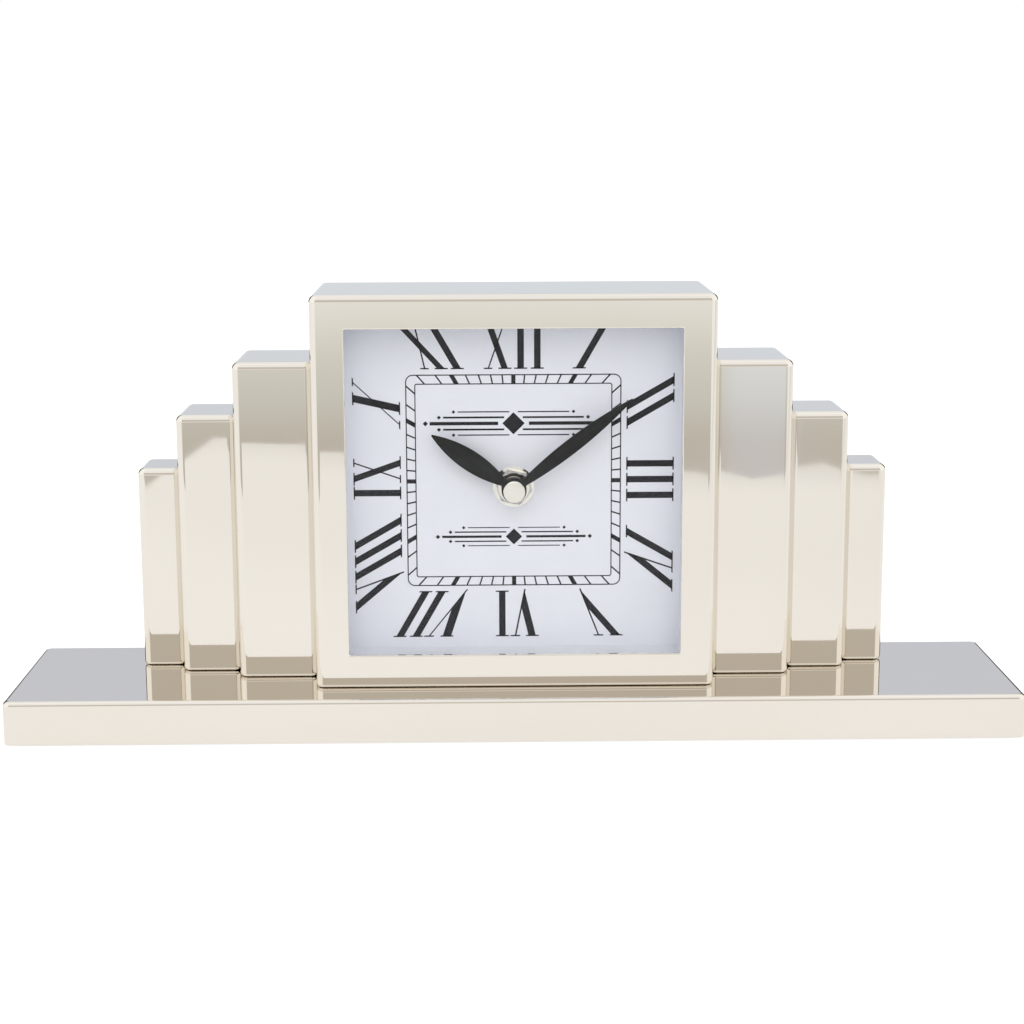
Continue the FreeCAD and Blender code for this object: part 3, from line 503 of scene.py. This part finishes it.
dialPrint = {
    "aboveShaft": 2.1, "thickness": 0.04,
    "outerSquare": (81.2, 80.36, 2.8), "innerSquare": (74.4, 73.6, 1.0),
    "thinTick": 0.55, "thickTick": 1.6,
    "numeralInner": 42.6, "numeralOuter": 60.6, "serif": 0.5,
    "stem": 2.45, "hairline": 0.55, "stemSerif": 4.9, "crossHalf": 3.15, "crossSerif": 3.1,
    "wideLeg": 2.8, "thinLeg": 0.6, "thinLegSerif": 3.7, "apex": 0.6,
}

# letters of each hour: strokes sit at these distances along the side of the square
hourLetters = {
    12: (("X", -6.3), ("I", 2.75), ("I", 9.0)),
    1: (("I", 0.0),),
    2: (("I", -3.4), ("I", 2.7)),
    3: (("I", -6.4), ("I", -0.35), ("I", 5.75)),
    4: (("I", -5.0), ("V", 6.15, -0.7, 3.3)),
    5: (("V", -4.3, 2.5, -0.6),),
    6: (("V", -6.93, -0.44, -3.85), ("I", 4.56)),
    7: (("V", -9.0, -2.1, -6.1), ("I", 2.8), ("I", 9.0)),
    8: (("V", -13.9, -6.9, -10.5), ("I", -2.1), ("I", 3.9), ("I", 9.85)),
    9: (("I", -4.4), ("X", 4.1)),
    10: (("X", 0.0),),
    11: (("X", -5.4), ("I", 3.75)),
}

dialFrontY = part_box("dial_plate")[0].y
dialLow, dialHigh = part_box("dial_plate")
shaftZ = (dialLow.z + dialHigh.z) / 2
printZ = shaftZ + dialPrint["aboveShaft"] * mm


def addPrism(mesh, points, frontY, backY):
    # points are (x, z) in metres; the prism runs along Y
    front = [mesh.verts.new((x, frontY, z)) for x, z in points]
    back = [mesh.verts.new((x, backY, z)) for x, z in points]
    mesh.faces.new(front)
    mesh.faces.new(list(reversed(back)))
    for index in range(len(points)):
        after = (index + 1) % len(points)
        mesh.faces.new((front[index], back[index], back[after], front[after]))


def addFrame(mesh, outer, inner, frontY, backY):
    # a closed band between two loops with the same number of points
    count = len(outer)
    rings = []
    for loop, y in ((outer, frontY), (inner, frontY), (inner, backY), (outer, backY)):
        rings.append([mesh.verts.new((x, y, z)) for x, z in loop])
    for ringIndex in range(4):
        near, far = rings[ringIndex], rings[(ringIndex + 1) % 4]
        for index in range(count):
            after = (index + 1) % count
            mesh.faces.new((near[index], near[after], far[after], far[index]))


def finishPiece(name, mesh, material, body):
    bmesh.ops.recalc_face_normals(mesh, faces=mesh.faces)
    data = bpy.data.meshes.new(name)
    mesh.to_mesh(data)
    mesh.free()
    data.materials.append(material)
    piece = bpy.data.objects.new(name, data)
    bpy.context.scene.collection.objects.link(piece)
    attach(piece, body)
    return piece


def roundedSquare(side, radius, steps=6):
    half = side / 2 - radius
    points = []
    for corner in range(4):
        centreX = half if corner in (0, 3) else -half
        centreZ = half if corner in (0, 1) else -half
        for step in range(steps + 1):
            angle = math.radians(90 * corner + 90 * step / steps)
            points.append((centreX + radius * math.cos(angle), centreZ + radius * math.sin(angle)))
    return points


def onDial(points):
    return [(x * mm, z * mm + printZ) for x, z in points]


def sidePoints(hour, points):
    # (along, out) on one side of the square, slanted with the hour direction, to (x, z)
    side = ((hour + 1) % 12) // 3
    slant = math.tan(math.radians(((hour + 1) % 3 - 1) * 30))
    outward = ((0, 1), (1, 0), (0, -1), (-1, 0))[side]
    along = ((1, 0), (0, -1), (-1, 0), (0, 1))[side]
    placed = []
    for u, out in points:
        shift = u + out * slant
        placed.append((along[0] * shift + outward[0] * out, along[1] * shift + outward[1] * out))
    return placed


def stroke(outerU, innerU, width, out0, out1):
    half = width / 2
    return [(outerU - half, out1), (outerU + half, out1), (innerU + half, out0), (innerU - half, out0)]


def serifBar(u, out, length, inwards):
    depth = dialPrint["serif"]
    low, high = (out, out + depth) if inwards else (out - depth, out)
    return [(u - length / 2, low), (u + length / 2, low), (u + length / 2, high), (u - length / 2, high)]


def letterShapes(letter, slantCos):
    look = dialPrint
    out0, out1 = look["numeralInner"], look["numeralOuter"]
    kind, u = letter[0], letter[1]
    stem = look["stem"] / slantCos
    if kind == "I":
        return [stroke(u, u, stem, out0, out1), serifBar(u, out0, look["stemSerif"], True),
                serifBar(u, out1, look["stemSerif"], False)]
    if kind == "X":
        half = look["crossHalf"]
        return [stroke(u - half, u + half, stem, out0, out1),
                stroke(u + half, u - half, look["hairline"], out0, out1),
                serifBar(u - half, out1, look["stemSerif"], False),
                serifBar(u + half, out0, look["stemSerif"], True),
                serifBar(u + half, out1, look["crossSerif"], False),
                serifBar(u - half, out0, look["crossSerif"], True)]
    thick, thin, apex = letter[1:]
    sign = 1 if thin > thick else -1
    tip = out0 - look["apex"]
    wide = look["wideLeg"] / slantCos
    fine = look["thinLeg"]
    slopeThick = (apex - (thick - sign * wide / 2)) / (tip - out1)
    slopeThin = (apex - (thin + sign * fine / 2)) / (tip - out1)
    meet = out1 + ((thin + sign * fine / 2) - (thick + sign * wide / 2)) / (slopeThick - slopeThin)
    meetU = (thick + sign * wide / 2) + slopeThick * (meet - out1)
    thickLeg = [(thick - sign * wide / 2, out1), (thick + sign * wide / 2, out1), (meetU, meet), (apex, tip)]
    thinLeg = [(thin - sign * fine / 2, out1), (thin + sign * fine / 2, out1),
               (apex, tip), (apex - sign * fine, tip)]
    return [thickLeg, thinLeg, serifBar(thick, out1, look["stemSerif"], False),
            serifBar(thin, out1, look["thinLegSerif"], False)]


def buildNumerals():
    mesh = bmesh.new()
    frontY = dialFrontY - dialPrint["thickness"] * mm
    for hour, letters in hourLetters.items():
        slantCos = math.cos(math.radians(((hour + 1) % 3 - 1) * 30))
        for letter in letters:
            for points in letterShapes(letter, slantCos):
                addPrism(mesh, onDial(sidePoints(hour, points)), frontY, dialFrontY)
    return finishPiece("dialNumerals", mesh, printInk, "clock")


def buildMinuteTrack():
    mesh = bmesh.new()
    frontY = dialFrontY - dialPrint["thickness"] * mm
    for key in ("outerSquare", "innerSquare"):
        outside, inside, radius = dialPrint[key]
        inner = roundedSquare(inside, radius - (outside - inside) / 2)
        addFrame(mesh, onDial(roundedSquare(outside, radius)), onDial(inner), frontY, dialFrontY)
    near = dialPrint["innerSquare"][0] / 2
    far = dialPrint["outerSquare"][1] / 2
    for minute in range(60):
        width = dialPrint["thickTick"] if minute % 5 == 0 else dialPrint["thinTick"]
        angle = math.radians(6 * minute)
        sine, cosine = math.sin(angle), math.cos(angle)
        if abs(cosine) >= abs(sine):
            half = width / 2 / abs(cosine)
            sign = 1 if cosine > 0 else -1
            points = [(out * sine / abs(cosine) + side * half, sign * out)
                      for out, side in ((near, -1), (near, 1), (far, 1), (far, -1))]
        else:
            half = width / 2 / abs(sine)
            sign = 1 if sine > 0 else -1
            points = [(sign * out, out * cosine / abs(sine) + side * half)
                      for out, side in ((near, -1), (near, 1), (far, 1), (far, -1))]
        addPrism(mesh, onDial(points), frontY, dialFrontY)
    return finishPiece("dialMinuteTrack", mesh, printInk, "clock")


ornament = {
    "upper": {"z": 22.0, "lozenge": 4.2, "rules": ((0.0, 31.6, 1.3), (2.3, 26.5, 0.7), (4.4, 21.0, 0.45))},
    "lower": {"z": -21.5, "lozenge": 3.1, "rules": ((0.0, 27.3, 0.9), (1.8, 22.5, 0.5), (3.5, 17.5, 0.35))},
    "gap": 1.6, "endLozenge": 0.55,
}


def buildOrnament():
    # stepped rules either side of a lozenge, plain geometric filling above and below the hands
    mesh = bmesh.new()
    frontY = dialFrontY - dialPrint["thickness"] * mm

    def lozenge(x, z, size):
        addPrism(mesh, onDial([(x - size, z), (x, z - size), (x + size, z), (x, z + size)]), frontY,
                 dialFrontY)

    def rule(x0, x1, z, width):
        corners = [(x0, z - width / 2), (x1, z - width / 2), (x1, z + width / 2), (x0, z + width / 2)]
        addPrism(mesh, onDial(corners), frontY, dialFrontY)

    for part in (ornament["upper"], ornament["lower"]):
        size = part["lozenge"]
        lozenge(0.0, part["z"], size)
        for side in (-1, 1):
            for offset, reach, width in part["rules"]:
                nearest = max(size - offset, 0.0) + ornament["gap"]
                for z in sorted({part["z"] + offset, part["z"] - offset}):
                    start, end = sorted((side * nearest, side * reach))
                    rule(start, end, z, width)
                    lozenge(side * (reach + ornament["gap"]), z, ornament["endLozenge"] + width / 3)
    return finishPiece("dialOrnament", mesh, printInk, "clock")


buildNumerals()
buildMinuteTrack()
buildOrnament()
print("dial print built")


backDetails = {
    "rise": 0.4, "ringInner": 6.0, "ringOuter": 6.8,
    "arrowInner": 8.0, "arrowOuter": 8.7, "arrowHalf": 1.0, "arrowLength": 1.7,
    "arrows": ((110, 165), (250, 195)),
    "ribWidth": 0.7, "roomBelowShaft": 10.4, "roomFoot": 1.5, "roomMargin": 2.0,
    "bossInner": 0.9, "bossOuter": 1.5, "bossSteps": 32,
}


def circlePoints(centreX, centreZ, radius, steps=64):
    angles = [2 * math.pi * step / steps for step in range(steps)]
    return [(centreX + radius * math.cos(angle), centreZ + radius * math.sin(angle)) for angle in angles]


def arcBand(centreX, centreZ, inner, outer, start, end, steps=28):
    points = []
    for step in range(steps + 1):
        angle = math.radians(start + (end - start) * step / steps)
        points.append((centreX + outer * math.cos(angle), centreZ + outer * math.sin(angle)))
    for step in range(steps, -1, -1):
        angle = math.radians(start + (end - start) * step / steps)
        points.append((centreX + inner * math.cos(angle), centreZ + inner * math.sin(angle)))
    return points


def buildBackMoulding():
    look = backDetails
    low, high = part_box("movement_back_shell")
    knobLow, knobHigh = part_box("setting_knob")
    knobX = (knobLow.x + knobHigh.x) / 2
    knobZ = (knobLow.z + knobHigh.z) / 2
    y0, y1 = high.y, high.y + look["rise"] * mm
    mesh = bmesh.new()
    addFrame(mesh, circlePoints(knobX, knobZ, look["ringOuter"] * mm),
             circlePoints(knobX, knobZ, look["ringInner"] * mm), y1, y0)
    inner, outer = look["arrowInner"] * mm, look["arrowOuter"] * mm
    middle = (inner + outer) / 2
    for start, end in look["arrows"]:
        addPrism(mesh, arcBand(knobX, knobZ, inner, outer, start, end), y1, y0)
        angle = math.radians(start)
        turn = -1 if end > start else 1
        tip = Vector((knobX + middle * math.cos(angle), knobZ + middle * math.sin(angle)))
        ahead = Vector((-math.sin(angle), math.cos(angle))) * turn
        across = Vector((math.cos(angle), math.sin(angle)))
        head = [tip + across * look["arrowHalf"] * mm, tip - across * look["arrowHalf"] * mm,
                tip + ahead * look["arrowLength"] * mm]
        addPrism(mesh, [(point.x, point.y) for point in head], y1, y0)
    # stiffening frame round the train room
    partition = shaftZ - look["roomBelowShaft"] * mm
    centreX = (low.x + high.x) / 2
    roomLow, roomHigh = partition + look["roomFoot"] * mm, high.z - look["roomMargin"] * mm
    half = (high.x - low.x) / 2 - look["roomMargin"] * mm
    band = look["ribWidth"] * mm
    outerLoop = [(centreX - half, roomLow), (centreX + half, roomLow),
                 (centreX + half, roomHigh), (centreX - half, roomHigh)]
    innerLoop = [(centreX - half + band, roomLow + band), (centreX + half - band, roomLow + band),
                 (centreX + half - band, roomHigh - band), (centreX - half + band, roomHigh - band)]
    addFrame(mesh, outerLoop, innerLoop, y1, y0)
    # bosses over the arbors
    for node in ("third_wheel", "seconds_wheel", "intermediate_wheel", "rotor_pinion", "minute_work_wheel"):
        first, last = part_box(node)
        x, z = (first.x + last.x) / 2, (first.z + last.z) / 2
        addFrame(mesh, circlePoints(x, z, look["bossOuter"] * mm, look["bossSteps"]),
                 circlePoints(x, z, look["bossInner"] * mm, look["bossSteps"]), y1, y0)
    return finishPiece("movementMoulding", mesh, finishes["movement_black"], "clock")


buildBackMoulding()
print("back details built")


studio = {  # lengths in metres, glow is emission strength
    "frontEdge": ((-0.225, -0.47), (-0.206, -0.7), (-0.154, -0.688), (-0.114, -0.684), (0.128, -0.594),
                  (0.161, -0.535), (0.215, -0.575), (0.235, -0.51)),
    "reach": 4.0, "glow": 0.652, "glowNear": 0.705, "shade": 0.3,
    "seenGlow": 0.2, "fadeSlope": 0.39, "frontFade": (-0.65, -0.53), "nearFade": (-0.4, -0.08),
    "tint": (1.0, 0.995, 0.985),
}


def buildFloor():
    # its front edge is where the reflections in the columns turn from pale floor to darker room
    reach = studio["reach"]
    edge = studio["frontEdge"]
    points = [(-reach, edge[0][1]), *edge, (reach, edge[-1][1]), (reach, reach), (-reach, reach)]
    mesh = bmesh.new()
    mesh.faces.new([mesh.verts.new((x, y, 0.0)) for x, y in points])
    data = bpy.data.meshes.new("studioFloor")
    mesh.to_mesh(data)
    mesh.free()
    floor = bpy.data.objects.new("studioFloor", data)
    bpy.context.scene.collection.objects.link(floor)
    material = bpy.data.materials.new("paleFloor")
    material.use_nodes = True
    tree, shader = partsOf(material)
    coords = addNode(tree, "ShaderNodeTexCoord", -900, 0)
    split = addNode(tree, "ShaderNodeSeparateXYZ", -700, 0)
    tree.links.new(coords.outputs["Object"], split.inputs[0])
    lean = calc(tree, "MULTIPLY", -500, 0, split.outputs[0], studio["fadeSlope"])
    depth = calc(tree, "SUBTRACT", -300, 0, split.outputs[1], lean)
    glow = remap(tree, -100, 100, depth, *studio["frontFade"], studio["glow"] - 0.1, studio["glow"], True)
    nearer = remap(tree, -100, -150, depth, *studio["nearFade"], 0.0,
                   studio["glowNear"] - studio["glow"], True)
    strength = calc(tree, "ADD", 100, 0, glow, nearer)
    lightPath = addNode(tree, "ShaderNodeLightPath", -100, -400)
    seen = calc(tree, "MULTIPLY", 100, -300, lightPath.outputs["Is Camera Ray"], studio["seenGlow"])
    strength = calc(tree, "ADD", 250, 0, strength, seen)  # the floor itself looks white
    feed(tree, strength, shader.inputs["Emission Strength"])
    shader.inputs["Emission Color"].default_value = (*studio["tint"], 1.0)
    patches = useGroup(tree, cloudPatches, -300, 300, Scale=3.0,
                       Low=studio["shade"] - 0.004, High=studio["shade"] + 0.004)
    feed(tree, patches.outputs["Value"], shader.inputs["Base Color"])
    shader.inputs["Roughness"].default_value = 0.9
    shader.inputs["Specular IOR Level"].default_value = 0.0
    data.materials.append(material)
    return floor


fillLight = {"place": (0.0, -1.15, 0.75), "aim": (0.0, 0.0, 0.09), "size": 1.1, "power": 3.3,
             "color": (0.97, 0.985, 1.0)}


def buildFillLight():
    # soft front light for the matt dial only, it doesn't show in the nickel
    data = bpy.data.lights.new("fillLight", "AREA")
    data.energy = fillLight["power"]
    data.size = fillLight["size"]
    data.color = fillLight["color"]
    light = bpy.data.objects.new("fillLight", data)
    bpy.context.scene.collection.objects.link(light)
    light.location = fillLight["place"]
    towards = Vector(fillLight["aim"]) - light.location
    light.rotation_euler = towards.to_track_quat("-Z", "Y").to_euler()
    light.visible_glossy = False
    light.visible_camera = False


# colours of the studio round the clock, by height above the horizon in degrees
studioColors = {
    "front": ((-15.0, (0.58, 0.555, 0.51)), (-8.9, (0.58, 0.555, 0.51)), (-7.7, (0.665, 0.67, 0.625)),
              (-6.6, (0.735, 0.74, 0.7)), (-6.1, (0.79, 0.8, 0.76)), (-5.4, (0.87, 0.88, 0.855)),
              (-4.9, (0.93, 0.915, 0.9)), (0.0, (0.97, 0.95, 0.92)), (3.0, (0.92, 0.89, 0.85)),
              (6.0, (0.7, 0.67, 0.63)), (16.0, (0.63, 0.59, 0.54)), (28.0, (0.64, 0.6, 0.56)),
              (38.0, (1.0, 1.0, 1.0))),
    "rear": ((-15.0, (0.8, 0.83, 0.88)), (0.0, (0.72, 0.765, 0.82)), (4.0, (0.71, 0.755, 0.8)),
             (14.0, (0.62, 0.647, 0.73)), (24.0, (0.7, 0.73, 0.8)), (38.0, (1.0, 1.0, 1.0))),
    "flag": ((-15.0, (0.2, 0.2, 0.2)), (-4.0, (0.04, 0.04, 0.04)), (24.0, (0.04, 0.04, 0.04)),
             (40.0, (1.0, 1.0, 1.0))),
    "side": ((-15.0, (0.9, 0.9, 0.9)), (0.0, (1.1, 1.1, 1.08)), (45.0, (1.1, 1.1, 1.08))),
}


# where the studio's parts meet, as a share of the half turn from the rear (0) to the front (1)
studioBands = {"toFlag": (0.085, 0.1), "toSide": (0.3, 0.34), "toFront": (0.8, 0.85)}
coolStretch = {"start": (0.112, 0.124), "end": (0.148, 0.158), "below": (0.14, 0.25),
               "tint": (1.12, 1.16, 1.3)}
skyLow, skyHigh = -15.0, 45.0  # degrees


def buildStudioWorld():
    world = bpy.data.worlds.new("softStudio")
    bpy.context.scene.world = world
    world.use_nodes = True
    tree = world.node_tree
    tree.nodes.clear()
    coords = addNode(tree, "ShaderNodeTexCoord", -1600, 0)
    split = addNode(tree, "ShaderNodeSeparateXYZ", -1400, 0)
    tree.links.new(coords.outputs["Generated"], split.inputs[0])
    x, y, z = split.outputs
    rise = calc(tree, "ARCSINE", -1200, 200, z)
    height = remap(tree, -1000, 200, rise, math.radians(skyLow), math.radians(skyHigh))
    sideways = calc(tree, "ABSOLUTE", -1200, -100, x)
    turn = calc(tree, "ARCTAN2", -1000, -100, sideways, y)
    bearing = calc(tree, "DIVIDE", -800, -100, turn, math.pi)

    def sky(name, placeY):
        stops = [((degrees - skyLow) / (skyHigh - skyLow), color) for degrees, color in studioColors[name]]
        return colorStops(tree, -700, placeY, height, stops)

    front = sky("front", 600)
    forward = calc(tree, "MULTIPLY", -1200, -400, y, -1.0)
    lean = calc(tree, "DIVIDE", -1000, -400, x, forward)
    coolStart = remap(tree, -800, -400, lean, *coolStretch["start"])
    coolEnd = remap(tree, -800, -600, lean, *coolStretch["end"], 1.0, 0.0)
    coolBand = calc(tree, "MULTIPLY", -600, -500, coolStart, coolEnd)
    lowOnly = remap(tree, -600, -700, height, *coolStretch["below"], 1.0, 0.0)
    coolBand = calc(tree, "MULTIPLY", -400, -500, coolBand, lowOnly)
    front = mixColors(tree, -300, 600, coolBand, front, (*coolStretch["tint"], 1.0))
    front.node.blend_type = "MULTIPLY"  # the cool stretch only tints what is there
    toFlag = remap(tree, -500, 100, bearing, *studioBands["toFlag"])
    toSide = remap(tree, -500, 0, bearing, *studioBands["toSide"])
    toFront = remap(tree, -500, -100, bearing, *studioBands["toFront"])
    color = mixColors(tree, -100, 300, toFlag, sky("rear", 400), sky("flag", 200))
    color = mixColors(tree, 100, 300, toSide, color, sky("side", 0))
    color = mixColors(tree, 300, 300, toFront, color, front)
    around = addNode(tree, "ShaderNodeBackground", 500, 200)
    feed(tree, color, around.inputs["Color"])
    plain = addNode(tree, "ShaderNodeBackground", 500, 0)
    plain.inputs["Color"].default_value = (1.0, 1.0, 1.0, 1.0)
    lightPath = addNode(tree, "ShaderNodeLightPath", 500, 500)
    choose = addNode(tree, "ShaderNodeMixShader", 700, 200)
    tree.links.new(lightPath.outputs["Is Camera Ray"], choose.inputs[0])
    tree.links.new(around.outputs[0], choose.inputs[1])
    tree.links.new(plain.outputs[0], choose.inputs[2])
    output = addNode(tree, "ShaderNodeOutputWorld", 900, 200)
    tree.links.new(choose.outputs[0], output.inputs["Surface"])


cameraSettings = {
    "place": (-0.01174, -0.778, 0.23026), "down": 10.941, "aside": 0.821, "roll": -0.219,
    "lens": 72.68, "sensor": 36.0, "nearest": 0.01,
}


def buildCamera():
    down = math.radians(cameraSettings["down"])
    aside = math.radians(cameraSettings["aside"])
    roll = math.radians(cameraSettings["roll"])
    ahead = Vector((math.sin(aside) * math.cos(down), math.cos(aside) * math.cos(down), -math.sin(down)))
    level = Vector((math.cos(aside), -math.sin(aside), 0.0))
    upright = level.cross(ahead)
    right = level * math.cos(roll) + upright * math.sin(roll)
    up = upright * math.cos(roll) - level * math.sin(roll)
    data = bpy.data.cameras.new("clockCamera")
    data.lens = cameraSettings["lens"]
    data.sensor_width = cameraSettings["sensor"]
    data.clip_start = cameraSettings["nearest"]
    camera = bpy.data.objects.new("clockCamera", data)
    bpy.context.scene.collection.objects.link(camera)
    turned = Matrix((right, up, -ahead)).transposed().to_4x4()
    camera.matrix_world = Matrix.Translation(Vector(cameraSettings["place"])) @ turned
    bpy.context.scene.camera = camera


buildFloor()
buildFillLight()
buildStudioWorld()
buildCamera()
bpy.context.scene.view_settings.view_transform = "Standard"
print("studio ready")
